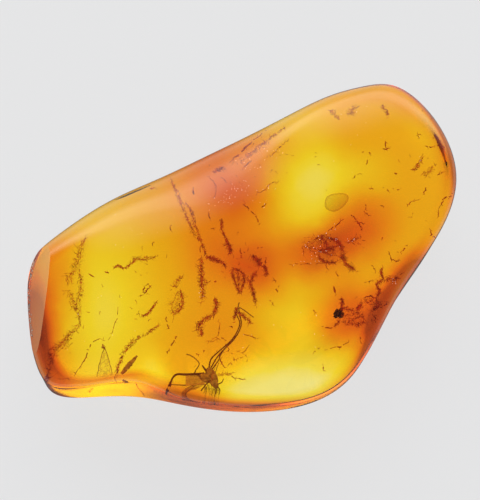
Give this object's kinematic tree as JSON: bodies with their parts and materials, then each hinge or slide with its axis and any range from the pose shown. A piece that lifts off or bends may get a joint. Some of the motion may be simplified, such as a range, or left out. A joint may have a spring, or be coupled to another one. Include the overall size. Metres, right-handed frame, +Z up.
{
  "type": "gnat in amber",
  "caption": "Polished clear amber pebble holding a sealed gnat and bits of plant, lying on a small flat spot.",
  "frame": {"origin": "on the resting plane, under the middle of the pebble's bounding box", "axes": "+X along the pebble's longer side towards its rounded tip, +Y towards the thin rounded back, +Z up from the flat resting spot"},
  "size_m": [0.0354, 0.0274, 0.0102],
  "materials": {
    "amber": "polished clear amber, lemon to rust, refractive index 1.54, tinted by depth",
    "insect": "brown, dull, slightly see-through at the wing",
    "plant": "dark brown, dull"
  },
  "bodies": {
    "root": {"amber_upper": "amber", "amber_lower": "amber", "gnat": "insect", "leaf_flake": "plant", "plant_needle": "plant", "bark_crumb": "plant"}
  },
  "joints": []
}
